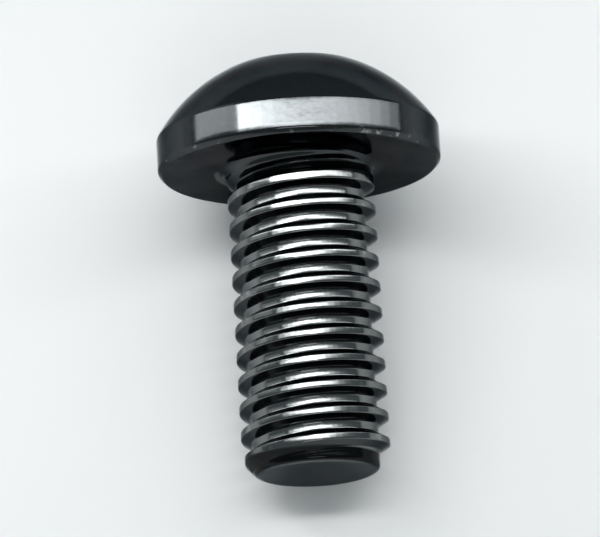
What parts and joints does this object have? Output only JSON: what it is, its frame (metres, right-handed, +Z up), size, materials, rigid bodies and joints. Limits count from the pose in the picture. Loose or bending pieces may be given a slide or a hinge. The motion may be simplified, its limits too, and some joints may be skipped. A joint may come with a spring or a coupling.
{
  "type": "button head screw",
  "caption": "Small black steel machine screw with a domed button head, a hexagon socket and a full-length right-hand thread, for flush-looking clamped joints.",
  "frame": {"origin": "on the floor, under the centre of the lying screw's bounding box", "axes": "+Z up; the screw lies in the YZ plane on its rim and thread, head towards +Y, tip towards -Y and 13.5 degrees down"},
  "size_m": [0.0074, 0.0114, 0.0075],
  "materials": {
    "black_steel": "black oxide, oiled, glossy"
  },
  "bodies": {
    "root": {"screw": "black_steel"}
  },
  "joints": []
}
